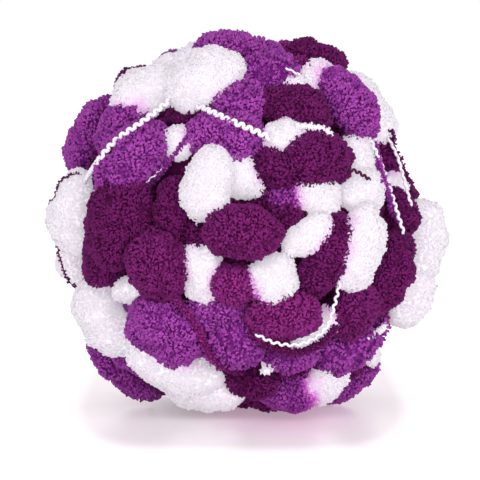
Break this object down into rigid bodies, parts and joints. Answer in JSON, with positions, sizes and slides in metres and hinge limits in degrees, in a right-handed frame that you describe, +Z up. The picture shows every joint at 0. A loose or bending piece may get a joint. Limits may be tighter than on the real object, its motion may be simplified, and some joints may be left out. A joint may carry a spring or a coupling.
{
  "type": "ball of pom pom yarn",
  "caption": "Wound ball of thick bobble yarn: plump pile bobbles in purple, plum and white on a crimped thread, pressed flat where it stands.",
  "frame": {"origin": "middle of the ball's footprint, on the surface it stands on", "axes": "+Z up, +X to the right across the widest way of the ball, the front faces -Y"},
  "size_m": [0.1972, 0.1914, 0.1878],
  "materials": {
    "purple_pile": "cut polyester chenille pile, dyed bright purple",
    "plum_pile": "cut polyester chenille pile, dyed dark plum",
    "white_pile": "cut polyester chenille pile, undyed white",
    "binding_thread": "crimped polyester binding thread"
  },
  "bodies": {
    "root": {"yarn_ball": "purple_pile"}
  },
  "joints": []
}
